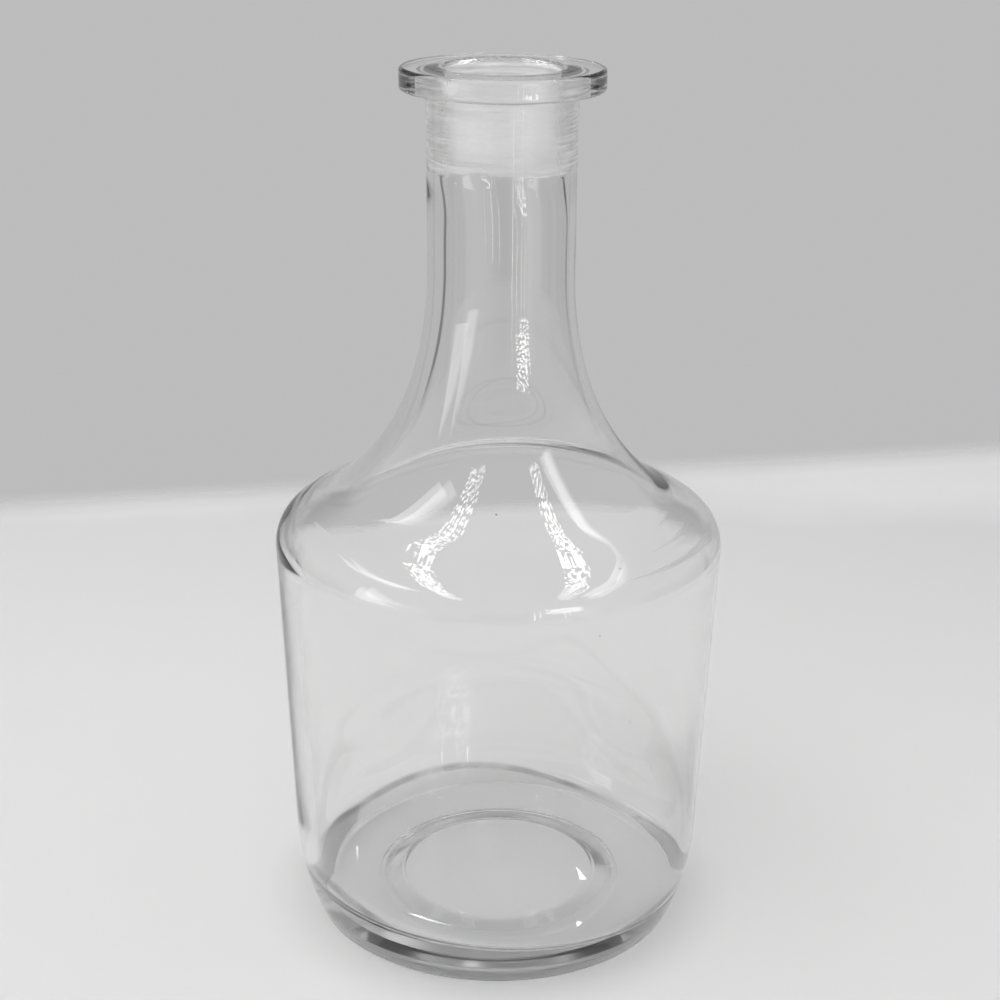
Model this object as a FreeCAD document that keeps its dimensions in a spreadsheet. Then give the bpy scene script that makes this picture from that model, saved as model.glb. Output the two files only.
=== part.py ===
"""Bottle vase: one blown glass bottle with a ground neck, a sloping shoulder and a pushed-up foot.

The bottle is a single piece of glass. Its outside is turned from one outline, then the
cavity and the ground socket in the neck are cut out of it. Lengths are millimetres and
angles degrees. The origin is the centre of the foot, and +Z is the bottle's own axis.
"""
import FreeCAD, Part
import math
import os

import Sketcher

NODE = "glass_bottle"

# Driving sizes: name, value, meaning
SIZES = [
    ("body_diameter", 133.8, "widest glass, at the corner of the shoulder"),
    ("body_height", 119.8, "table to the widest glass"),
    ("wall_lean", 2.5, "lean of the body wall, which narrows towards the foot"),
    ("body_wall", 3.2, "glass thickness of the body and the shoulder"),
    ("corner_radius", 11.2, "lower and tighter part of the shoulder corner"),
    ("corner_turn", 54.0, "turn of that lower part"),
    ("dome_radius", 30.0, "upper and flatter part of the shoulder corner"),
    ("shoulder_slope", 27.0, "slope of the shoulder from level"),
    ("break_rise", 15.2, "widest glass to the break between shoulder and flare"),
    ("break_radius", 24.0, "hollow of the break"),
    ("break_turn", 15.0, "turn of the break"),
    ("flare_height", 66.4, "break to the straight neck"),
    ("flare_top_turn", 16.0, "turn of the upper of the two arcs of the flare"),
    ("neck_diameter", 42.8, "outside of the neck"),
    ("neck_length", 58.6, "top of the flare to the top of the lip"),
    ("neck_wall", 3.9, "glass thickness of the neck"),
    ("neck_top_radius", 136.0, "arc by which the neck widens under the lip"),
    ("neck_top_turn", 4.6, "turn of that arc"),
    ("lip_diameter", 58.2, "outside of the lip"),
    ("lip_thickness", 6.4, "lip from top to underside"),
    ("lip_edge_bevel", 0.9, "softened upper and lower edge of the lip"),
    ("lip_fillet_radius", 2.4, "fillet between neck and lip"),
    ("socket_diameter", 32.4, "ground socket that a stopper seats in"),
    ("socket_depth", 28.0, "top of the lip to the foot of the ground socket"),
    ("socket_ledge_slope", 50.0, "slope of the ledge where the ground socket ends"),
    ("mouth_bevel", 1.0, "polished bevel round the mouth"),
    ("heel_radius", 69.0, "long curve from the wall to the foot"),
    ("heel_turn", 22.4, "turn of that curve"),
    ("foot_bevel", 1.1, "softened outer edge of the foot, along its slope"),
    ("push_up_diameter", 76.0, "inner edge of the ring that the bottle stands on"),
    ("push_up_height", 3.4, "ceiling of the push-up above the table"),
    ("push_up_slope", 28.0, "slope of the sides of the push-up from level"),
    ("floor_height", 10.6, "table to the inside floor"),
    ("inner_heel_radius", 7.2, "hollow between the floor and the inside wall"),
    ("cut_overrun", 2.0, "how far a cut runs out into the air"),
]
size = {name: value for name, value, meaning in SIZES}

QUARTER_TURN = 90.0
FULL_TURN = 360.0

# How many straight runs stand for an arc where a plain shape is enough
SHORT_ARC_RUN_COUNT = 1
FILLET_RUN_COUNT = 2
INNER_HEEL_RUN_COUNT = 2
INNER_FLARE_RUN_COUNTS = (2, 1)

# Heights that several outlines share, as formulas on the sheet of sizes
BREAK_HEIGHT = "Sizes.body_height + Sizes.break_rise"
NECK_START = BREAK_HEIGHT + " + Sizes.flare_height"
TOP = NECK_START + " + Sizes.neck_length"
SOCKET_FOOT = TOP + " - Sizes.socket_depth"

# Radii that several outlines share
CORNER_MIDDLE = "Sizes.body_diameter / 2 - Sizes.corner_radius"
BORE = "Sizes.neck_diameter / 2 - Sizes.neck_wall"
SOCKET = "Sizes.socket_diameter / 2"


def sine(degrees):
    return math.sin(math.radians(degrees))


def cosine(degrees):
    return math.cos(math.radians(degrees))


def solve_pair(first, second):
    """The x and y for which a * x + b * y = c, for two rows of (a, b, c)."""
    (a, b, c), (d, e, f) = first, second
    share = a * e - b * d
    return (c * e - b * f) / share, (a * f - c * d) / share


class Pen:
    """Draws a closed outline in a sketch as a path of straight runs and arcs.

    In the sketch, x is the distance from the bottle's axis and y is the height. The path
    starts on the axis. Lengths and turns are formulas on the sheet, which the sketch then
    keeps to, or plain numbers where the rest of the outline settles them.
    """

    LEVEL_AXIS_INDEX = -1
    UPRIGHT_AXIS_INDEX = -2
    START_INDEX = 1
    END_INDEX = 2
    MIDDLE_INDEX = 3

    def __init__(self, body, name, height):
        self.sketch = body.newObject("Sketcher::SketchObject", name)
        plane = next(item for item in body.Origin.OriginFeatures if item.Role == "XZ_Plane")
        self.sketch.AttachmentSupport = [(plane, "")]
        self.sketch.MapMode = "FlatFace"
        self.x, self.y, self.heading = 0.0, self.value(height), 0.0
        self.height = height
        self.begin = (self.x, self.y)
        self.smooth = False
        self.joints = []

    def value(self, amount):
        return float(self.sketch.evalExpression(amount)) if isinstance(amount, str) else amount

    def corner(self):
        """Let the next piece meet the last one at a corner."""
        self.smooth = False

    def start_run(self, length):
        """The first run, level and out from the axis."""
        line = self.run(length)
        self.add("Horizontal", line)
        self.keep_on_axis(line, self.START_INDEX)
        self.keep_y(line, self.START_INDEX, self.height)
        return line

    def run(self, length):
        """A straight run along the heading."""
        return self.line(self.x + length * cosine(self.heading), self.y + length * sine(self.heading))

    def run_to(self, x, y):
        """A straight run to a place that it keeps to, with a corner at its end."""
        line = self.line(self.value(x), self.value(y))
        self.keep_x(line, self.END_INDEX, x)
        self.keep_y(line, self.END_INDEX, y)
        self.corner()
        return line

    def level_run_to_axis(self):
        line = self.line(0.0, self.y)
        self.add("Horizontal", line)
        self.keep_on_axis(line, self.END_INDEX)
        self.corner()
        return line

    def line(self, x, y):
        start = (self.x, self.y)
        self.x, self.y = x, y
        return self.join(self.segment(start, (x, y)), self.START_INDEX, self.END_INDEX)

    def segment(self, start, end):
        ends = (FreeCAD.Vector(*place, 0) for place in (start, end))
        return self.sketch.addGeometry(Part.LineSegment(*ends), False)

    def left(self, radius, turn, runs=0):
        """An arc that bends to the left by turn, or that many straight runs along it."""
        return self.bend(radius, turn, 1, runs)

    def right(self, radius, turn, runs=0):
        return self.bend(radius, turn, -1, runs)

    def bend(self, radius, turn, side, runs):
        reach, before, sweep = self.value(radius) * side, self.heading, self.value(turn) * side
        middle = (self.x - reach * sine(before), self.y + reach * cosine(before))
        circle = Part.Circle(FreeCAD.Vector(*middle, 0), FreeCAD.Vector(0, 0, 1), abs(reach))
        angles = sorted(math.radians(heading - QUARTER_TURN * side) for heading in (before, before + sweep))
        arc = self.sketch.addGeometry(Part.ArcOfCircle(circle, *angles), False)
        ends = (self.START_INDEX, self.END_INDEX)[::side]
        self.join(arc, *ends)
        self.bind("Radius", (arc,), radius)
        self.bind("Angle", (arc,), turn)

        headings = [before + sweep * step / max(runs, 1) for step in range(max(runs, 1) + 1)]
        places = [(middle[0] + reach * sine(heading), middle[1] - reach * cosine(heading))
                  for heading in headings]
        if runs:
            self.runs_along(arc, ends, places)
        self.x, self.y = places[-1]
        self.heading = headings[-1]
        return arc

    def runs_along(self, arc, ends, places):
        """Draw equal straight runs from place to place along an arc, which stays as a guide."""
        self.sketch.toggleConstruction(arc)
        lines = [self.segment(start, end) for start, end in zip(places, places[1:])]
        first, last = lines[0], lines[-1]
        self.add("Coincident", first, self.START_INDEX, arc, ends[0])
        self.add("Coincident", last, self.END_INDEX, arc, ends[1])
        for line, following in zip(lines, lines[1:]):
            self.add("Coincident", line, self.END_INDEX, following, self.START_INDEX)
            self.add("PointOnObject", following, self.START_INDEX, arc)
            self.add("Equal", line, following)

    def join(self, piece, start, end):
        """Tie a new piece to the end of the last one."""
        if self.joints:
            last, last_start, last_end = self.joints[-1]
            self.add("Tangent" if self.smooth else "Coincident", last, last_end, piece, start)
        self.joints.append((piece, start, end))
        self.smooth = True
        return piece

    def close(self):
        """A straight run back to where the outline began."""
        line = self.line(*self.begin)
        first, start, end = self.joints[0]
        self.add("Coincident", line, self.END_INDEX, first, start)

    def add(self, kind, *references):
        self.sketch.addConstraint(Sketcher.Constraint(kind, *references))

    def bind(self, kind, references, amount):
        """Keep a dimension to a formula. A plain number is left for the outline to settle."""
        if not isinstance(amount, str):
            return
        value = self.value(amount)
        if kind == "Angle":
            value, amount = math.radians(value), "(%s) * 1 deg" % amount
        number = self.sketch.addConstraint(Sketcher.Constraint(kind, *references, value))
        self.sketch.setExpression("Constraints[%d]" % number, amount)

    def keep_x(self, piece, point, amount):
        self.bind("DistanceX", (self.LEVEL_AXIS_INDEX, self.START_INDEX, piece, point), amount)

    def keep_y(self, piece, point, amount):
        self.bind("DistanceY", (self.LEVEL_AXIS_INDEX, self.START_INDEX, piece, point), amount)

    def keep_on_axis(self, piece, point):
        self.add("PointOnObject", piece, point, self.UPRIGHT_AXIS_INDEX)


# Wall, shoulder corner, shoulder, break and flare. The cavity's are drawn a glass thickness further in
def wall_top(wall):
    """Where the straight wall meets the corner of the shoulder."""
    radius, lean = size["corner_radius"] - wall, size["wall_lean"]
    middle = size["body_diameter"] / 2 - size["corner_radius"]
    return middle + radius * cosine(lean), size["body_height"] - radius * sine(lean)


def draw_wall(pen, length):
    line = pen.run(length)
    pen.bind("Angle", (line,), "90 - Sizes.wall_lean")


def draw_shoulder_corner(pen, wall, corner_runs):
    corner = pen.left("Sizes.corner_radius - " + wall, "Sizes.corner_turn", corner_runs)
    pen.keep_x(corner, pen.MIDDLE_INDEX, CORNER_MIDDLE)
    pen.keep_y(corner, pen.MIDDLE_INDEX, "Sizes.body_height")
    turn = QUARTER_TURN + size["wall_lean"] - size["corner_turn"] - size["shoulder_slope"]
    pen.left("Sizes.dome_radius - " + wall, turn, SHORT_ARC_RUN_COUNT)


def draw_shoulder(pen, wall):
    height = BREAK_HEIGHT + " - (%s) * cos(Sizes.shoulder_slope * 1 deg)" % wall
    line = pen.run((pen.value(height) - pen.y) / sine(size["shoulder_slope"]))
    pen.bind("Angle", (line,), "180 - Sizes.shoulder_slope")
    pen.keep_y(line, pen.END_INDEX, height)


def flare_radii(width, height, full_turn):
    """Radii of the lower and the upper arc of the flare, which together fill width and height."""
    top_turn = size["flare_top_turn"]
    across = (cosine(top_turn) - cosine(full_turn), 1 - cosine(top_turn), width)
    along = (sine(full_turn) - sine(top_turn), sine(top_turn), height)
    return solve_pair(across, along)


def draw_break_and_flare(pen, wall, neck_radius, flare_runs):
    pen.right("Sizes.break_radius + " + wall, "Sizes.break_turn", SHORT_ARC_RUN_COUNT)
    width, height = pen.x - pen.value(neck_radius), pen.value(NECK_START) - pen.y
    full_turn = QUARTER_TURN - size["shoulder_slope"] - size["break_turn"]
    lower_radius, upper_radius = flare_radii(width, height, full_turn)
    lower_runs, upper_runs = flare_runs
    pen.right(lower_radius, full_turn - size["flare_top_turn"], lower_runs)
    upper = pen.right(upper_radius, "Sizes.flare_top_turn", upper_runs)
    pen.keep_y(upper, pen.START_INDEX, NECK_START)


def draw_straight_neck(pen, radius, top):
    neck = pen.run(top - pen.y)
    pen.add("Vertical", neck)
    pen.keep_x(neck, pen.START_INDEX, radius)


# The outside: push-up, foot, wall, shoulder, neck and lip
def draw_push_up(pen):
    """Ceiling and sloping side of the push-up, down to the ring that the bottle stands on."""
    slope = size["push_up_slope"]
    pen.start_run(size["push_up_diameter"] / 2 - size["push_up_height"] * cosine(slope) / sine(slope))
    pen.corner()
    side = pen.run_to("Sizes.push_up_diameter / 2", "0")
    pen.bind("Angle", (side,), "-Sizes.push_up_slope")


def foot_and_wall():
    """Radius of the foot on the table, and length of the straight outside wall."""
    lean, heel_lean = size["wall_lean"], size["wall_lean"] + size["heel_turn"]
    bevel, heel, bevel_slope = size["foot_bevel"], size["heel_radius"], (QUARTER_TURN - heel_lean) / 2
    top_radius, top_height = wall_top(0)
    width = bevel * cosine(bevel_slope) + heel * (cosine(lean) - cosine(heel_lean))
    height = bevel * sine(bevel_slope) + heel * (sine(heel_lean) - sine(lean))
    wall = (top_height - height) / cosine(lean)
    return top_radius - wall * sine(lean) - width, wall


def draw_foot(pen, radius):
    """The ring on the table, the bevel of its outer edge and the long curve up to the wall."""
    slope = "(90 - Sizes.wall_lean - Sizes.heel_turn) / 2"
    ring = pen.run(radius - pen.x)
    pen.add("Horizontal", ring)
    pen.corner()
    pen.heading = pen.value(slope)
    bevel = pen.run(size["foot_bevel"])
    pen.bind("Distance", (bevel,), "Sizes.foot_bevel")
    pen.bind("Angle", (bevel,), slope)
    pen.corner()
    pen.heading = QUARTER_TURN - size["wall_lean"] - size["heel_turn"]
    pen.left("Sizes.heel_radius", "Sizes.heel_turn")


def draw_neck(pen):
    """The straight neck, and the arc by which it widens under the lip."""
    turn, fillet = size["neck_top_turn"], size["lip_fillet_radius"]
    widening = size["neck_top_radius"] * sine(turn) + fillet * (1 - sine(turn))
    draw_straight_neck(pen, "Sizes.neck_diameter / 2", pen.value(TOP) - size["lip_thickness"] - widening)
    pen.right("Sizes.neck_top_radius", "Sizes.neck_top_turn", SHORT_ARC_RUN_COUNT)


def draw_lip(pen):
    """Fillet, underside, rim with its two softened edges, and top face."""
    rim, bevel = "Sizes.lip_diameter / 2", " - Sizes.lip_edge_bevel"
    underside = TOP + " - Sizes.lip_thickness"
    pen.right("Sizes.lip_fillet_radius", QUARTER_TURN - size["neck_top_turn"], FILLET_RUN_COUNT)
    line = pen.run_to(rim + bevel, underside)
    pen.add("Horizontal", line)
    pen.run_to(rim, underside + " + Sizes.lip_edge_bevel")
    pen.run_to(rim, TOP + bevel)
    pen.run_to(rim + bevel, TOP)
    pen.level_run_to_axis()


def outside_outline(body):
    foot_radius, wall_length = foot_and_wall()
    pen = Pen(body, "outside_outline", "Sizes.push_up_height")
    draw_push_up(pen)
    draw_foot(pen, foot_radius)
    draw_wall(pen, wall_length)
    draw_shoulder_corner(pen, "0", 0)
    draw_shoulder(pen, "0")
    draw_break_and_flare(pen, "0", "Sizes.neck_diameter / 2", (0, 0))
    draw_neck(pen)
    draw_lip(pen)
    pen.close()
    return pen.sketch


# The cavity: floor, inside heel, wall and shoulder, bore and ledge
def floor_and_wall():
    """Radius of the flat floor, and length of the straight inside wall."""
    heel, lean = size["inner_heel_radius"], size["wall_lean"]
    top_radius, top_height = wall_top(size["body_wall"])
    wall = (top_height - size["floor_height"] - heel * (1 - sine(lean))) / cosine(lean)
    return top_radius - wall * sine(lean) - heel * cosine(lean), wall


def draw_bore_and_ledge(pen):
    """The bore of the neck, which narrows on a sloping ledge to the ground socket."""
    slope = size["socket_ledge_slope"]
    ledge_height = (pen.x - pen.value(SOCKET)) * sine(slope) / cosine(slope)
    draw_straight_neck(pen, BORE, pen.value(SOCKET_FOOT) - ledge_height)
    pen.corner()
    ledge = pen.run_to(SOCKET, SOCKET_FOOT)
    pen.bind("Angle", (ledge,), "180 - Sizes.socket_ledge_slope")


def cavity_outline(body):
    floor_radius, wall_length = floor_and_wall()
    pen = Pen(body, "cavity_outline", "Sizes.floor_height")
    pen.start_run(floor_radius)
    pen.left("Sizes.inner_heel_radius", QUARTER_TURN - size["wall_lean"], INNER_HEEL_RUN_COUNT)
    draw_wall(pen, wall_length)
    draw_shoulder_corner(pen, "Sizes.body_wall", SHORT_ARC_RUN_COUNT)
    draw_shoulder(pen, "Sizes.body_wall")
    draw_break_and_flare(pen, "Sizes.body_wall", BORE, INNER_FLARE_RUN_COUNTS)
    draw_bore_and_ledge(pen)
    pen.level_run_to_axis()
    pen.close()
    return pen.sketch


# The ground socket, from inside the cavity to the air above the lip
def socket_outline(body):
    low, high = SOCKET_FOOT + " - Sizes.cut_overrun", TOP + " + Sizes.cut_overrun"
    pen = Pen(body, "socket_outline", low)
    end_face = pen.start_run(size["socket_diameter"] / 2)
    pen.keep_x(end_face, pen.END_INDEX, SOCKET)
    pen.corner()
    pen.run_to(SOCKET, TOP + " - Sizes.mouth_bevel")
    pen.run_to(SOCKET + " + Sizes.mouth_bevel + Sizes.cut_overrun", high)
    pen.level_run_to_axis()
    pen.close()
    return pen.sketch


# Features and the finished glass
def turn_feature(body, kind, name, outline):
    """Turn an outline a full circle about the bottle's axis, as solid glass or as a cut."""
    feature = body.newObject(kind, name)
    feature.Profile = outline
    feature.ReferenceAxis = (outline, ["V_Axis"])
    feature.Angle = FULL_TURN
    outline.Visibility = False
    body.Document.recompute()
    return feature


def cut_feature(body, name, outline):
    """A turned cut, which has to take glass away."""
    before = body.Shape.Volume
    turn_feature(body, "PartDesign::Groove", name, outline)
    if not body.Shape.Volume < before:
        raise RuntimeError(name + " cuts nothing")


def glass_bottle(doc):
    body = doc.addObject("PartDesign::Body", NODE)
    body.Label = NODE
    turn_feature(body, "PartDesign::Revolution", "turned_glass", outside_outline(body))
    cut_feature(body, "cavity", cavity_outline(body))
    cut_feature(body, "ground_socket", socket_outline(body))
    body.Placement = FreeCAD.Placement(FreeCAD.Vector(0, 0, 0), FreeCAD.Rotation())
    return body


def new_document():
    """A document with the sheet of driving sizes."""
    doc = FreeCAD.newDocument("bottle_vase")
    sheet = doc.addObject("Spreadsheet::Sheet", "Sizes")
    for row, (name, value, meaning) in enumerate(SIZES, start=1):
        sheet.set("A%d" % row, name)
        sheet.set("B%d" % row, str(value))
        sheet.setAlias("B%d" % row, name)
        sheet.set("C%d" % row, meaning)
    doc.recompute()
    return doc


def check(doc, bodies):
    """Stop if anything in the document failed, or a piece isn't one sound solid."""
    for item in doc.Objects:
        if "Invalid" in item.State or "Error" in item.State:
            raise RuntimeError("%s failed: %s" % (item.Name, item.State))
        if item.TypeId == "Sketcher::SketchObject" and not item.FullyConstrained:
            raise RuntimeError("%s isn't fully dimensioned" % item.Name)
    for body in bodies:
        if body.Shape.isNull() or not body.Shape.isValid() or len(body.Shape.Solids) != 1:
            raise RuntimeError("%s has no sound solid" % body.Label)


def main():
    doc = new_document()
    bodies = [glass_bottle(doc)]
    doc.recompute()
    check(doc, bodies)
    os.makedirs("parts", exist_ok=True)
    for body in bodies:
        body.Shape.exportStep("parts/%s.step" % body.Label)
        box = body.Shape.optimalBoundingBox()
        print("%s: %.1f x %.1f x %.1f mm, %.1f cm3 of glass" % (
            body.Label, box.XLength, box.YLength, box.ZLength, body.Shape.Volume / 1000))


main()
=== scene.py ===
"""Clear glass bottle vase on a pale table: its finished look, built on the solid model's frame."""
import math

import bmesh
import bpy
from mathutils import Matrix, Vector


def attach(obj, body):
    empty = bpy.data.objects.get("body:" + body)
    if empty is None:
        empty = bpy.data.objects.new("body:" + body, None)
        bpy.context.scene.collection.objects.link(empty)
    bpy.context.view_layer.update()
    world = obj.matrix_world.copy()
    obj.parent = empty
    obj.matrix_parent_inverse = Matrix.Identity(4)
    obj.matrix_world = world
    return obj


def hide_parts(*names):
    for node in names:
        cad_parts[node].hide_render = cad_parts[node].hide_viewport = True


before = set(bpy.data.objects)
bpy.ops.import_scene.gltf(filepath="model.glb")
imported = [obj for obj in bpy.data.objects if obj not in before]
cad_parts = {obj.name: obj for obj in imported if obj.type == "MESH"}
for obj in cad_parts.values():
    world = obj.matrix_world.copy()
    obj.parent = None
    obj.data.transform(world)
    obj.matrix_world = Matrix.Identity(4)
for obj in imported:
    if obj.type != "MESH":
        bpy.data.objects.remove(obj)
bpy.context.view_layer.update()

MM = 0.001
FULL_TURN = 2 * math.pi

# Sizes of the bottle, in mm
# Each row is a point (radius, height) and the radius of the bend that leads to it:
# 0 is a straight run, a positive radius swells outwards and a negative one is hollow.
OUTSIDE = [
    (0, 3.3, 0),
    (29.6, 2.85, 0),
    (31.0, 2.45, 5.0),
    (36.7, 0.35, 0),
    (38.6, 0, -5.5),
    (54.9, 0, 0),
    (56.495, 0.592, 2.6),
    (62.843, 26.634, 69.0),
    (66.889, 119.311, 0),
    (62.672, 128.565, 11.2),
    (57.616, 131.817, 30.0),
    (51.370, 135.0, 0),
    (46.206, 138.549, -24.0),
    (25.598, 171.529, -70.54),
    (21.4, 201.4, -108.37),
    (21.4, 240.485, 0),
    (21.838, 251.392, -136.0),
    (24.23, 253.6, -2.4),
    (28.0, 253.6, 0),
    (29.1, 254.7, 1.1),
    (29.1, 258.9, 0),
    (28.0, 260.0, 1.1),
    (18.6, 260.0, 0),
]
CAVITY = [
    (0, 10.2, 0),
    (50.0, 10.4, 0),
    (57.5, 11.9, 19.5),
    (59.1, 14.19, 2.6),
    (63.692, 119.451, 0),
    (60.680, 126.061, 8.0),
    (56.164, 128.966, 26.8),
    (49.917, 132.149, 0),
    (44.065, 136.171, -27.2),
    (21.619, 172.092, -76.84),
    (17.1, 201.4, -106.33),
    (17.0, 226.0, 1500.0),
    (16.6, 232.0, 50.0),
    (16.2, 238.0, -50.0),
    (16.2, 257.6, 0),
    (18.6, 260.0, -2.4),
]

# How finely bends and straight runs are divided, how close a support lies to each end of a straight run,
# how many columns go round the bottle, and how near its points are merged at the seam and the poles.
ARC_STEP = 2.2
ARC_TURN = math.radians(5)
STRAIGHT_STEP = 6.0
EDGE_SUPPORT = 0.2
SEGMENTS_AROUND = 256
MERGE_DISTANCE = 0.002

# The cavity lies to +X of the axis in the body, a little less in the neck, and not at all in the socket.
# It changes over these heights.
BODY_SHIFT = 1.4
NECK_SHIFT = 1.2
FLARE_HEIGHTS = (124.0, 190.0)
SOCKET_HEIGHTS = (215.0, 233.0)

# The inside floor's edge rises towards an angle in degrees. It is also drawn in at two places: each row is
# the angle in degrees, the depth and how sharply the dent ends. Both begin on the floor over these radii,
# and fade up the wall over these heights.
EDGE_RISE_ANGLE = 200
EDGE_RISE = 3.0
EDGE_DENTS = [(40, 3.5, 8), (138, 2.5, 12)]
EDGE_RADII = (44.0, 57.0)
EDGE_HEIGHTS = (13.0, 45.0)


def smooth_step(low, high, value):
    """0 below low, 1 above high, and an even S between them."""
    share = min(max((value - low) / (high - low), 0), 1)
    return share * share * (3 - 2 * share)


# Node helpers
class Value:
    """A socket of a node, for sums between values."""

    def __init__(self, nodes, node, socket):
        self.nodes = nodes
        self.node = node
        self.socket = socket

    def out(self, name):
        """Another output of the same node."""
        return Value(self.nodes, self.node, find_socket(self.node.outputs, name))

    def maths(self, operation, *others):
        """An operation on this value and any others."""
        return self.nodes.maths(operation, self, *others)

    def __add__(self, other):
        return self.maths("ADD", other)

    def __radd__(self, other):
        return self.nodes.maths("ADD", other, self)

    def __sub__(self, other):
        return self.maths("SUBTRACT", other)

    def __rsub__(self, other):
        return self.nodes.maths("SUBTRACT", other, self)

    def __mul__(self, other):
        return self.maths("MULTIPLY", other)

    def __rmul__(self, other):
        return self.nodes.maths("MULTIPLY", other, self)

    def __truediv__(self, other):
        return self.maths("DIVIDE", other)

    def __rtruediv__(self, other):
        return self.nodes.maths("DIVIDE", other, self)

    def between(self, low, high):
        """0 at low, 1 at high, and an even S between them."""
        return self.nodes.add(
            "ShaderNodeMapRange",
            {"interpolation_type": "SMOOTHSTEP"},
            {"Value": self, "From Min": low, "From Max": high},
        )


def find_socket(sockets, key):
    """A socket by its number, its identifier or its name."""
    if isinstance(key, int):
        return sockets[key]
    for socket in sockets:
        if socket.identifier == key:
            return socket
    return sockets[key]


def grey(shade):
    """An even grey as a colour."""
    return (shade, shade, shade, 1.0)


class Nodes:
    """A node tree that is filled by one method."""

    def __init__(self, tree):
        self.tree = tree
        self.tree.nodes.clear()

    def add(self, kind, settings=None, values=None):
        """Adds a node, sets it up, fills its sockets with numbers or links, and gives its first output."""
        node = self.tree.nodes.new(kind)
        for name, setting in (settings or {}).items():
            if name == "stops":
                for position, shade in setting[2:]:
                    node.color_ramp.elements.new(position)
                for element, (position, shade) in zip(node.color_ramp.elements, setting):
                    element.position = position
                    element.color = grey(shade)
            else:
                setattr(node, name, setting)
        for key, value in (values or {}).items():
            socket = find_socket(node.inputs, key)
            if isinstance(value, Value):
                self.tree.links.new(value.socket, socket)
            else:
                socket.default_value = value
        first = node.outputs[0] if node.outputs else None
        return Value(self, node, first)

    def maths(self, operation, *values):
        """An operation on numbers and values, in their order."""
        return self.add("ShaderNodeMath", {"operation": operation}, dict(enumerate(values)))

    def split(self, vector):
        """A vector's three parts."""
        parts = self.add("ShaderNodeSeparateXYZ", None, {0: vector})
        return parts.out("X"), parts.out("Y"), parts.out("Z")

    def noise(self, place, scale, detail):
        """Soft cloudy noise between 0 and 1."""
        return self.add("ShaderNodeTexNoise", None, {"Vector": place, "Scale": scale, "Detail": detail})

    def blend(self, share, first, second):
        """A colour between two others."""
        mix = self.add(
            "ShaderNodeMix",
            {"data_type": "RGBA"},
            {"Factor_Float": share, "A_Color": first, "B_Color": second},
        )
        return mix.out("Result_Color")

    def blend_shaders(self, share, first, second):
        """A finish between two others."""
        return self.add("ShaderNodeMixShader", None, {0: share, 1: first, 2: second})


# The bottle's outline
def bend_points(start, end, radius):
    """Points of a circular bend from start to end, without start."""
    chord = end - start
    length = chord.length
    across = Vector((-chord.y, chord.x)) / length
    rise = math.sqrt(max(radius * radius - length * length / 4, 0))
    centre = (start + end) / 2 + across * math.copysign(rise, radius)
    turn = 2 * math.asin(min(length / 2 / abs(radius), 1))
    count = max(math.ceil(turn / ARC_TURN), math.ceil(turn * abs(radius) / ARC_STEP), 2)
    spoke = start - centre
    points = []
    for step in range(1, count + 1):
        angle = math.copysign(turn * step / count, radius)
        points.append(centre + Matrix.Rotation(angle, 2) @ spoke)
    return points


def straight_points(start, end):
    """Points of a straight run from start to end, without start, with a support close to each end."""
    length = (end - start).length
    if length < 4 * EDGE_SUPPORT:
        return [end]
    inner = length - 2 * EDGE_SUPPORT
    count = max(math.ceil(inner / STRAIGHT_STEP), 1)
    distances = [EDGE_SUPPORT + inner * step / count for step in range(count + 1)]
    return [start.lerp(end, distance / length) for distance in distances] + [end]


def outline(rows):
    """All points of an outline given in rows."""
    points = [Vector(rows[0][:2])]
    for radius_out, height, bend in rows[1:]:
        end = Vector((radius_out, height))
        if bend:
            points += bend_points(points[-1], end, bend)
        else:
            points += straight_points(points[-1], end)
    return points


def cavity_shift(height):
    """How far the cavity lies to +X at a height, in mm."""
    in_flare = (BODY_SHIFT - NECK_SHIFT) * smooth_step(*FLARE_HEIGHTS, height)
    return BODY_SHIFT - in_flare - NECK_SHIFT * smooth_step(*SOCKET_HEIGHTS, height)


def edge_share(radius, height):
    """How much of the edge's rise and dents a point of the cavity takes: all at the heel, none far from it."""
    return smooth_step(*EDGE_RADII, radius) * (1 - smooth_step(*EDGE_HEIGHTS, height))


def bottle_outline():
    """A mesh of edges with the whole outline, foot to mouth outside and mouth to floor inside."""
    outside = outline(OUTSIDE)
    cavity = outline(CAVITY)[-2::-1]
    points = outside + cavity
    mesh = bpy.data.meshes.new("bottle_outline")
    edges = [(i, i + 1) for i in range(len(points) - 1)]
    mesh.from_pydata([(p.x * MM, 0, p.y * MM) for p in points], edges, [])
    shift = mesh.attributes.new("cavity_shift", "FLOAT", "POINT")
    share = mesh.attributes.new("edge_share", "FLOAT", "POINT")
    for index, point in enumerate(cavity, len(outside)):
        shift.data[index].value = cavity_shift(point.y) * MM
        share.data[index].value = edge_share(point.x, point.y)
    return mesh


# Turning the outline
def turning_sizes():
    """The turning tree's named sizes, with their values in metres and radians."""
    sizes = {
        "Edge Rise Angle": math.radians(EDGE_RISE_ANGLE),
        "Edge Rise": EDGE_RISE * MM,
        "Merge Distance": MERGE_DISTANCE * MM,
    }
    for number, (angle, depth, sharpness) in enumerate(EDGE_DENTS, 1):
        sizes[f"Dent {number} Angle"] = math.radians(angle)
        sizes[f"Dent {number} Depth"] = depth * MM
        sizes[f"Dent {number} Sharpness"] = float(sharpness)
    return sizes


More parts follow.
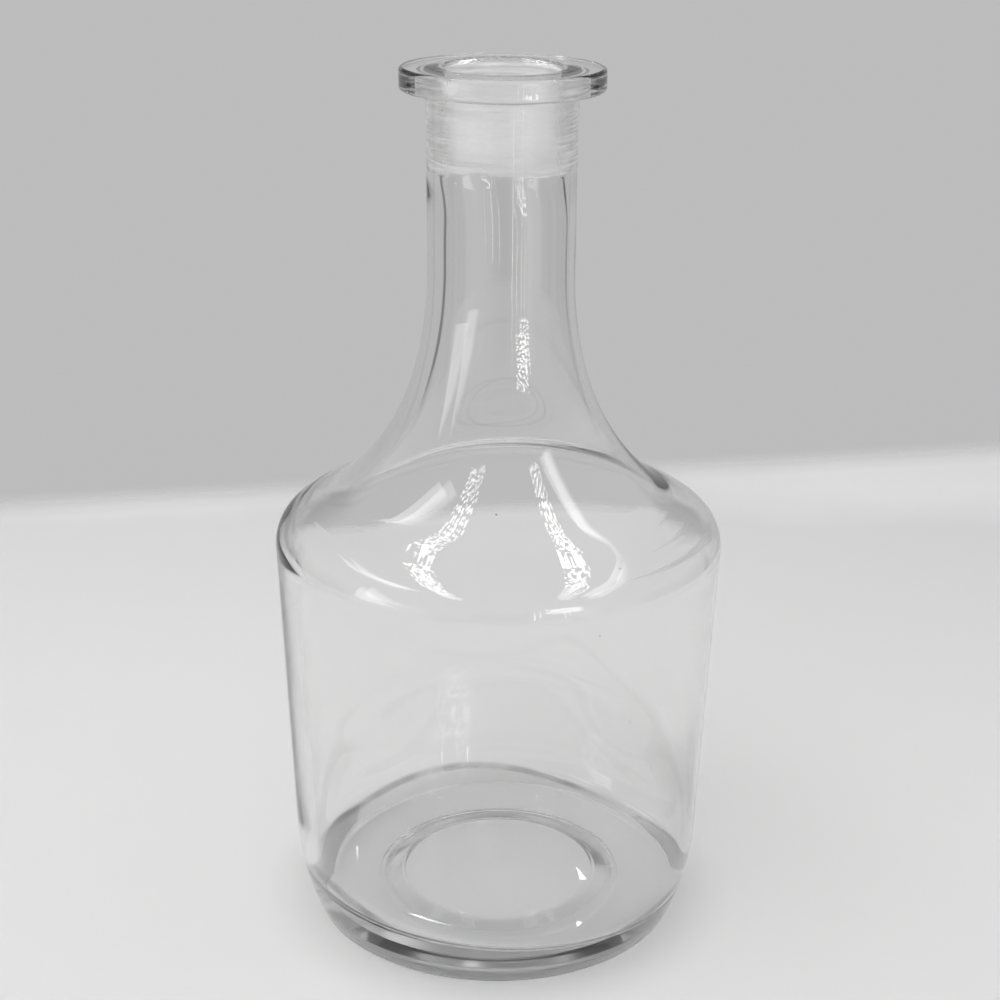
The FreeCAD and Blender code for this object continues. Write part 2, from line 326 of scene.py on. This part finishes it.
def turning_tree():
    """Geometry nodes that turn an outline round the bottle's axis, and the identifiers of their inputs."""
    group = bpy.data.node_groups.new("turned_glass", "GeometryNodeTree")
    face = group.interface
    kinds = {"Outline": "Geometry", "Segments Around": "Int", "Material": "Material"}
    kinds.update((name, "Float") for name in turning_sizes())
    inputs = {
        name: face.new_socket(name, in_out="INPUT", socket_type="NodeSocket" + kind).identifier
        for name, kind in kinds.items()
    }
    face.new_socket("Glass", in_out="OUTPUT", socket_type="NodeSocketGeometry")
    nodes = Nodes(group)
    given = nodes.add("NodeGroupInput")
    profile = given.out("Outline")
    columns = given.out("Segments Around")
    position = nodes.add("GeometryNodeInputPosition")

    # a flat grid with a row for each point of the outline and a column for each segment
    rows = nodes.add("GeometryNodeAttributeDomainSize", {"component": "MESH"}, {0: profile})
    last_row = rows - 1
    grid = nodes.add(
        "GeometryNodeMeshGrid",
        None,
        {"Size X": columns, "Size Y": last_row, "Vertices X": columns + 1, "Vertices Y": rows},
    )
    column_place, row_place, _ = nodes.split(position)
    angle = (column_place / columns + 0.5) * FULL_TURN
    row = (row_place + last_row * 0.5).maths("ROUND")

    def from_outline(kind, value):
        """What the outline has at the row's point."""
        return nodes.add(
            "GeometryNodeSampleIndex",
            {"data_type": kind, "domain": "POINT"},
            {"Geometry": profile, "Value": value, "Index": row},
        )

    def named(attribute):
        """A number that the outline carries."""
        number = nodes.add("GeometryNodeInputNamedAttribute", {"data_type": "FLOAT"}, {"Name": attribute})
        return from_outline("FLOAT", number)

    reach, _, rise = nodes.split(from_outline("FLOAT_VECTOR", position))
    share = named("edge_share")
    towards = angle - given.out("Edge Rise Angle")
    rise = rise + share * towards.maths("COSINE") * given.out("Edge Rise")
    for number in range(1, len(EDGE_DENTS) + 1):
        towards = angle - given.out(f"Dent {number} Angle")
        near = towards.maths("COSINE").maths("MAXIMUM", 0.0)
        dent = near.maths("POWER", given.out(f"Dent {number} Sharpness"))
        reach = reach - share * dent * given.out(f"Dent {number} Depth")
    side = reach * angle.maths("COSINE") + named("cavity_shift")
    depth = reach * angle.maths("SINE")
    turned = nodes.add("ShaderNodeCombineXYZ", None, {"X": side, "Y": depth, "Z": rise})
    shaped = nodes.add("GeometryNodeSetPosition", None, {"Geometry": grid, "Position": turned})
    closed = nodes.add(
        "GeometryNodeMergeByDistance",
        None,
        {"Geometry": shaped, "Distance": given.out("Merge Distance")},
    )
    smooth = nodes.add("GeometryNodeSetShadeSmooth", None, {"Geometry": closed})
    real = nodes.add("GeometryNodeRealizeInstances", None, {"Geometry": smooth})
    done = nodes.add(
        "GeometryNodeSetMaterial", None, {"Geometry": real, "Material": given.out("Material")}
    )
    nodes.add("NodeGroupOutput", None, {0: done})
    return group, inputs


def link(thing):
    """Puts an object in the scene."""
    bpy.context.scene.collection.objects.link(thing)
    return thing


def turned_bottle(glass):
    """The bottle as one closed mesh."""
    group, inputs = turning_tree()
    draft = link(bpy.data.objects.new("bottle_outline", bottle_outline()))
    turning = draft.modifiers.new("turning", "NODES")
    turning.node_group = group
    turning[inputs["Segments Around"]] = SEGMENTS_AROUND
    turning[inputs["Material"]] = glass
    for name, size in turning_sizes().items():
        turning[inputs[name]] = size
    view = bpy.context.evaluated_depsgraph_get()
    mesh = bpy.data.meshes.new_from_object(draft.evaluated_get(view))
    bpy.data.objects.remove(draft)
    shell = bmesh.new()
    shell.from_mesh(mesh)
    bmesh.ops.recalc_face_normals(shell, faces=shell.faces)
    if shell.calc_volume(signed=True) < 0:
        bmesh.ops.reverse_faces(shell, faces=shell.faces)
    shell.to_mesh(mesh)
    shell.free()
    mesh.name = "bottle_glass"
    return link(bpy.data.objects.new("bottle_glass", mesh))


# The glass, in metres
# A pair is where something begins and where it is full, or the other way round for an end.
# The ground socket: its foot, which wanders, its top, and how near the axis it lies.
GROUND_FOOT = (0.2312, 0.2326)
GROUND_TOP = (0.2586, 0.2594)
GROUND_RADIUS = (0.0168, 0.0174)
GROUND_WANDER = 0.006
CLOUD_SCALE = 90.0
# The score lines that run round it and its fine grain: how rough and how uneven they make it.
SCORE_SCALE = (60, 60, 1500)
SCORE_RELIEF = 0.00014
SCORE_ROUGHNESS = 0.30
GROUND_ROUGHNESS = 0.30
GRAIN_SCALE = 2600.0
GRAIN_RELIEF = 0.00004
# Glass dust in it: this much for a score line and for the cloud, less what stays clear.
CHALK_SHADE = 0.9
CHALK_ROUGHNESS = 0.9
CHALK_SCORED = 1.9
CHALK_CLOUDED = 0.9
CHALK_FREE = 1.18
# The polished mouth edge, a little uneven, so that it glitters.
MOUTH_HEIGHT = (0.2568, 0.2580)
MOUTH_RADIUS = (0.0200, 0.0225)
MOUTH_SCALE = 800.0
MOUTH_RELIEF = 0.00028
# All of the glass is faintly wavy.
WAVE_SCALE = 26.0
WAVE_RELIEF = 0.00005
# The foot ring is worn, and the push-up is a little rough.
WORN_HEIGHT = (0.0006, 0.0016)
WORN_ROUGHNESS = 0.42
PRESSED_HEIGHT = (0.0040, 0.0046)
PRESSED_ROUGHNESS = 0.10
# A faint grey line painted on the inside lies on a cone, so that it wanders over the floor's edge and the wall.
# It rises and falls in waves: times round, angle of a peak in degrees, height in mm.
LINE_WAVES = [(1, -139.8, 4.0), (2, -10.2, 2.07), (3, -26.3, 4.85)]
LINE_LEVEL = 0.0745
LINE_STEEPNESS = 1.08
LINE_WIDTH = (0.0006, 0.0026)
LINE_PATCHES = (0.2, 0.6)
LINE_FAINTEST = 0.5
# It is kept off the underside and off the outside, whose wall leans out as it rises.
UNDERSIDE_TOP = (0.0085, 0.0095)
OUTSIDE_RADIUS = (0.0576, 0.0580)
OUTSIDE_LEAN = 0.2
# Tiny dark specks: how close they may lie, how large they are, and how few cells have one.
SPECK_SCALE = 85.0
SPECK_SIZE = (0.020, 0.034)
SPECK_PICK = (0.80, 0.82)
# Shades of the surface, of marks on it and of the light that passes to the table, how the glass darkens
# with its depth, and how strongly it bends light.
CLEAR_SHADE = 0.988
MARK_SHADE = 0.30
PASSED_SHADE = 0.99
DEPTH_SHADE = 0.25
DEPTH_DENSITY = 5.5
GLASS_BEND = 1.5


def wandering_line(x, y, height, radius, cloud):
    """A faint grey line that wanders round the inside, with paler patches."""
    angle = y.maths("ARCTAN2", x)
    level = height + radius * LINE_STEEPNESS
    for count, peak, rise in LINE_WAVES:
        phase = (angle - math.radians(peak)) * float(count)
        level = level - phase.maths("COSINE") * (rise * MM)
    off = (level - LINE_LEVEL).maths("ABSOLUTE")
    line = (1 - off.between(*LINE_WIDTH)) * height.between(*UNDERSIDE_TOP)
    inside = 1 - (radius - height * OUTSIDE_LEAN).between(*OUTSIDE_RADIUS)
    patches = cloud.between(*LINE_PATCHES) * (1 - LINE_FAINTEST) + LINE_FAINTEST
    return line * inside * patches


def glass_material():
    """Clear polished glass, frosted in the ground socket, worn on the foot and faintly wavy."""
    material = bpy.data.materials.new("clear_glass")
    material.use_nodes = True
    nodes = Nodes(material.node_tree)
    place = nodes.add("ShaderNodeTexCoord").out("Object")
    x, y, height = nodes.split(place)
    radius = (x * x + y * y).maths("SQRT")

    cloud = nodes.noise(place, CLOUD_SCALE, 2.0)
    wandering = height + (cloud - 0.5) * GROUND_WANDER
    ground = wandering.between(*GROUND_FOOT) * (1 - height.between(*GROUND_TOP))
    ground = ground * (1 - radius.between(*GROUND_RADIUS))
    scored = nodes.add("ShaderNodeMapping", None, {0: place, "Scale": SCORE_SCALE})
    lines = nodes.noise(scored, 1.0, 3.0)
    grain = nodes.noise(place, GRAIN_SCALE, 2.0)

    worn = (1 - height.between(*WORN_HEIGHT)) * WORN_ROUGHNESS
    pressed = (1 - height.between(*PRESSED_HEIGHT)) * PRESSED_ROUGHNESS
    rough = ground * (GROUND_ROUGHNESS + lines * SCORE_ROUGHNESS) + worn.maths("MAXIMUM", pressed)

    specks = nodes.add(
        "ShaderNodeTexVoronoi", None, {"Vector": place, "Scale": SPECK_SCALE, "Randomness": 1.0}
    )
    pick = nodes.add("ShaderNodeSeparateColor", None, {0: specks.out("Color")})
    speck = (1 - specks.between(*SPECK_SIZE)) * pick.between(*SPECK_PICK)
    marks = wandering_line(x, y, height, radius, cloud).maths("MAXIMUM", speck)
    tint = nodes.blend(marks, grey(CLEAR_SHADE), grey(MARK_SHADE))

    mouth = height.between(*MOUTH_HEIGHT) * (1 - radius.between(*MOUTH_RADIUS))
    relief = (
        nodes.noise(place, WAVE_SCALE, 2.0) * WAVE_RELIEF
        + ground * (lines * SCORE_RELIEF + grain * GRAIN_RELIEF)
        + mouth * nodes.noise(place, MOUTH_SCALE, 1.0) * MOUTH_RELIEF
    )
    bump = nodes.add("ShaderNodeBump", None, {"Strength": 1.0, "Distance": 1.0, "Height": relief})
    clear = nodes.add(
        "ShaderNodeBsdfPrincipled",
        None,
        {
            "Base Color": tint,
            "Roughness": rough,
            "IOR": GLASS_BEND,
            "Transmission Weight": 1.0,
            "Normal": bump,
        },
    )
    chalk = nodes.add(
        "ShaderNodeBsdfPrincipled",
        None,
        {"Base Color": grey(CHALK_SHADE), "Roughness": CHALK_ROUGHNESS},
    )
    dust = ground * (lines * CHALK_SCORED + cloud * CHALK_CLOUDED - CHALK_FREE)
    glass = nodes.blend_shaders(dust, clear, chalk)
    passed = nodes.add("ShaderNodeBsdfTransparent", None, {"Color": grey(PASSED_SHADE)})
    shadow = nodes.add("ShaderNodeLightPath").out("Is Shadow Ray")
    surface = nodes.blend_shaders(shadow, glass, passed)
    depth = nodes.add(
        "ShaderNodeVolumeAbsorption", None, {"Color": grey(DEPTH_SHADE), "Density": DEPTH_DENSITY}
    )
    nodes.add("ShaderNodeOutputMaterial", None, {"Surface": surface, "Volume": depth})
    return material


# Table, in metres
# The table top lies a little under the foot, so that the two don't share a face.
AIR_GAP = 0.00005
TABLE_HALF_WIDTH = 2
# Painted light: it gets paler from front to back, and paler still in a band near its far edge, as light would
# fall on it: how far along, and the shade there.
TABLE_PAINTED_LIGHT_DEPTH = (-0.45, 0.45)
TABLE_PAINTED_LIGHT_SHADES = [(0.0, 0.61), (0.90, 0.72), (0.945, 0.84)]
TABLE_CLOUDS = 0.1
TABLE_CLOUD_SCALE = 6.0
TABLE_ROUGHNESS = 0.7
# Painted shadow: darker rings where the foot stands, one under the push-up's edge in front, and one round the
# foot.
INNER_SHADOW_RING_START = (0.026, 0.031)
INNER_SHADOW_RING_END = (0.034, 0.042)
INNER_SHADOW_RING_BACK = (-0.030, 0.005)
OUTER_SHADOW_RING_START = (0.050, 0.054)
OUTER_SHADOW_RING_END = (0.054, 0.078)
OUTER_SHADOW_RING_SHARE = 0.5
PAINTED_SHADOW_SHARE = 0.45
PAINTED_SHADOW_SHADE = 0.2
# Where the table ends for the camera: softly, along a slanted line.
TABLE_BACK = 0.391
TABLE_BACK_SLANT = 0.2
TABLE_BACK_BLUR = 0.022
TABLE_SPARE = 0.45
# Where it ends for the glass: at the real table's edges.
TABLE_REACH = (0.46, 0.52)
TABLE_END = (0.33, 0.36)


def table_material():
    """Pale matt table top with painted light, paler towards the back, and painted shadow rings round the foot,
    that ends softly at its far edge.
    """
    material = bpy.data.materials.new("pale_table_painted_light_and_shadow")
    material.use_nodes = True
    nodes = Nodes(material.node_tree)
    place = nodes.add("ShaderNodeTexCoord").out("Object")
    x, y, _ = nodes.split(place)
    out = nodes.add("ShaderNodeVectorMath", {"operation": "LENGTH"}, {0: place}).out("Value")

    cloud = nodes.noise(place, TABLE_CLOUD_SCALE, 3.0)
    # painted light: paler towards the back, mixed with faint clouds of tone
    along = y.between(*TABLE_PAINTED_LIGHT_DEPTH) * (1 - TABLE_CLOUDS) + cloud * TABLE_CLOUDS
    tone_and_painted_light = nodes.add("ShaderNodeValToRGB", {"stops": TABLE_PAINTED_LIGHT_SHADES}, {0: along})
    # painted shadow: two darker rings round the foot, blended into the table's colour
    inner = out.between(*INNER_SHADOW_RING_START) * (1 - out.between(*INNER_SHADOW_RING_END))
    inner = inner * (1 - y.between(*INNER_SHADOW_RING_BACK))
    outer_shadow_ring = out.between(*OUTER_SHADOW_RING_START) * (1 - out.between(*OUTER_SHADOW_RING_END)) * OUTER_SHADOW_RING_SHARE
    colour = nodes.blend(inner.maths("MAXIMUM", outer_shadow_ring) * PAINTED_SHADOW_SHARE, tone_and_painted_light, grey(PAINTED_SHADOW_SHADE))
    top = nodes.add(
        "ShaderNodeBsdfPrincipled", None, {"Base Color": colour, "Roughness": TABLE_ROUGHNESS}
    )

    slanted = y - x * TABLE_BACK_SLANT
    back = slanted.between(TABLE_BACK - TABLE_BACK_BLUR, TABLE_BACK + TABLE_BACK_BLUR)
    seen = nodes.add("ShaderNodeLightPath").out("Is Camera Ray")
    beyond = out.between(*TABLE_REACH).maths("MAXIMUM", y.between(*TABLE_END))
    gone = nodes.add("ShaderNodeBsdfTransparent")
    surface = nodes.blend_shaders(back.maths("MAXIMUM", beyond * (1 - seen)), top, gone)
    nodes.add("ShaderNodeOutputMaterial", None, {"Surface": surface})
    return material


def floor():
    """The table top, from in front of the camera to behind its far edge."""
    mesh = bpy.data.meshes.new("table_top")
    side, back = TABLE_HALF_WIDTH, TABLE_BACK + TABLE_SPARE
    corners = [(-side, -side), (side, -side), (side, back), (-side, back)]
    mesh.from_pydata([(x, y, -AIR_GAP) for x, y in corners], [], [(0, 1, 2, 3)])
    mesh.materials.append(table_material())
    return link(bpy.data.objects.new("table_top", mesh))


# Studio
# How bright the studio is round the bottle: an angle in degrees from the front (to the right is
# positive) and the brightness there, with dark gaps at the open front and at both sides.
WALL_SHADES = [
    (-180, 0.50),
    (-131, 0.50),
    (-129, 0.2),
    (-124, 0.2),
    (-122, 0.50),
    (-110, 0.50),
    (-101, 0.20),
    (-80, 0.20),
    (-74, 0.92),
    (-42, 0.92),
    (-36, 0.50),
    (-15, 0.45),
    (-11, 0.18),
    (11, 0.18),
    (15, 0.45),
    (34, 0.55),
    (38, 0.90),
    (45, 0.90),
    (51, 0.50),
    (74, 0.42),
    (80, 0.22),
    (113, 0.22),
    (119, 0.36),
    (124, 0.36),
    (126, 0.10),
    (129, 0.10),
    (131, 0.50),
    (180, 0.50),
]
# Overhead it is even, over these rises of the view above level.
OVERHEAD_RISE = (0.05, 0.22)
OVERHEAD_SHADE = 0.55
# High behind the bottle it has a darker zone: where it starts and ends upwards, and towards the back.
DARK_ZONE_START = (0.16, 0.24)
DARK_ZONE_END = (0.50, 0.62)
DARK_ZONE_BACK = (0.70, 0.82)
DARK_ZONE_SHADE = 0.14
# The camera sees an even wall.
SEEN_SHADE = 0.505


def studio_walls():
    """Grey studio: even where the camera sees it, and with gaps and bright walls for the glass."""
    world = bpy.data.worlds.new("grey_studio")
    bpy.context.scene.world = world
    world.use_nodes = True
    nodes = Nodes(world.node_tree)
    x, y, up = nodes.split(nodes.add("ShaderNodeTexCoord").out("Generated"))
    angle = x.maths("ARCTAN2", y * -1.0)
    stops = [(degrees / 360 + 0.5, shade) for degrees, shade in WALL_SHADES]
    walls = nodes.add("ShaderNodeValToRGB", {"stops": stops}, {0: angle / FULL_TURN + 0.5})
    room = nodes.blend(up.between(*OVERHEAD_RISE), walls, grey(OVERHEAD_SHADE))
    behind = up.between(*DARK_ZONE_START) * (1 - up.between(*DARK_ZONE_END)) * y.between(*DARK_ZONE_BACK)
    room = nodes.blend(behind, room, grey(DARK_ZONE_SHADE))
    seen = nodes.add("ShaderNodeLightPath").out("Is Camera Ray")
    colour = nodes.blend(seen, room, grey(SEEN_SHADE))
    wall = nodes.add("ShaderNodeBackground", None, {"Color": colour, "Strength": 1.0})
    nodes.add("ShaderNodeOutputWorld", None, {"Surface": wall})


# A lamp's power in watts is this much for each square metre and each step of brightness
LAMP_POWER = 4
# How far out from its middle a bright dot ends, as a share of the dots' spacing
DOT_EDGE = (0.30, 0.40)
# How a smooth lamp fades towards its long edges, and how bright its middle is
FADE_RANGE = (0.0, 0.9)
FADE_MIDDLE = 1.5

STRIP_HEIGHT = 0.73
STRIP_DOTS = (0.0155, 0.036)
# Each row: name, centre, width and length, brightness, and, where it has them, its turn in degrees or
# the point that it is aimed at, and the spacing of its dots across and along
LAMPS = [
    ("dotted_strip_left", (-0.256, -0.16, STRIP_HEIGHT), (0.070, 0.80), 9.5, {"turn": -4, "dots": STRIP_DOTS}),
    ("dotted_strip_right", (0.288, -0.165, STRIP_HEIGHT), (0.070, 0.80), 9.5, {"turn": 15, "dots": STRIP_DOTS}),
    ("smooth_strip_left", (-0.49, 0.08, STRIP_HEIGHT), (0.20, 0.72), 2.0, {}),
    ("smooth_strip_right", (0.53, -0.05, STRIP_HEIGHT), (0.22, 1.0), 2.0, {"turn": 14}),
    ("upright_near", (0.175, -0.574, 0.17), (0.010, 0.28), 5.0, {"aim": (0, 0, 0.17)}),
    ("upright_wide", (0.30, -0.52, 0.23), (0.17, 0.14), 8.0, {"aim": (0, 0, 0.23), "dots": (0.045, 0.008)}),
    ("upright_far", (0.31, -0.515, 0.16), (0.010, 0.24), 3.5, {"aim": (0, 0, 0.16)}),
    ("far_spot_left", (-0.085, 1.50, STRIP_HEIGHT), (0.030, 0.12), 9.0, {}),
    ("far_spot_right", (0.068, 1.22, STRIP_HEIGHT), (0.011, 0.045), 9.0, {}),
    ("side_window", (-1.10, -0.66, 0.45), (0.62, 0.8), 1.7, {"aim": (0, 0, 0.22)}),
]


def panel_light(name, centre, size, brightness, turn=0.0, aim=None, dots=None):
    """A flat lamp that faces down or at a point: softer towards its long edges, or made of bright dots."""
    lamp = bpy.data.lights.new(name, "AREA")
    lamp.shape = "RECTANGLE"
    lamp.size, lamp.size_y = size
    lamp.energy = LAMP_POWER * size[0] * size[1] * brightness
    thing = link(bpy.data.objects.new(name, lamp))
    thing.location = centre
    thing.visible_camera = False
    if aim:
        thing.rotation_euler = (Vector(aim) - Vector(centre)).to_track_quat("-Z", "Y").to_euler()
    else:
        thing.rotation_euler = (0, 0, math.radians(turn))
    lamp.use_nodes = True
    nodes = Nodes(lamp.node_tree)
    first, along, _ = nodes.split(nodes.add("ShaderNodeNewGeometry").out("Parametric"))
    across = 1 - first - along
    if dots:
        place = nodes.add(
            "ShaderNodeCombineXYZ",
            None,
            {"X": across * (size[0] / dots[0]), "Y": along * (size[1] / dots[1])},
        )
        cells = nodes.add(
            "ShaderNodeTexVoronoi", {"voronoi_dimensions": "2D"}, {"Vector": place, "Scale": 1.0}
        )
        strength = 1 - cells.between(*DOT_EDGE)
    else:
        hump = across * (1 - across) * 4.0
        strength = hump.between(*FADE_RANGE) * FADE_MIDDLE
    glow = nodes.add("ShaderNodeEmission", None, {"Strength": strength})
    nodes.add("ShaderNodeOutputLight", None, {"Surface": glow})
    return thing


def studio_lights():
    """A broad soft lamp that the glass doesn't mirror, and the strips, uprights and spots that it does."""
    soft = panel_light("broad_soft_lamp", (0, -0.1, 1.1), (1.6, 1.6), 1.05)
    soft.visible_glossy = False
    soft.visible_transmission = False
    for name, centre, size, brightness, more in LAMPS:
        panel_light(name, centre, size, brightness, **more)


# Camera
CAMERA_PLACE = (0, -0.5528, 0.3342)
LOOK_DOWN = 0.3513
LOOK_RIGHT = 0.00066
CAMERA_ROLL = math.radians(0.56)
FILM_WIDTH = 36.0
FOCAL_SHARE = 1.9609


def camera():
    """The photograph's camera: just over half a metre in front, looking down on the bottle."""
    lens = bpy.data.cameras.new("front_camera")
    lens.sensor_width = FILM_WIDTH
    lens.lens = FILM_WIDTH * FOCAL_SHARE
    lens.clip_start = 0.01
    thing = link(bpy.data.objects.new("front_camera", lens))
    turn = (
        Matrix.Rotation(-LOOK_RIGHT, 4, "Z")
        @ Matrix.Rotation(math.radians(90) - LOOK_DOWN, 4, "X")
        @ Matrix.Rotation(CAMERA_ROLL, 4, "Z")
    )
    thing.matrix_world = Matrix.Translation(CAMERA_PLACE) @ turn
    bpy.context.scene.camera = thing


bottle = turned_bottle(glass_material())
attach(bottle, "root")
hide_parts("glass_bottle")
floor()
studio_walls()
studio_lights()
camera()
bpy.context.scene.view_settings.view_transform = "Standard"
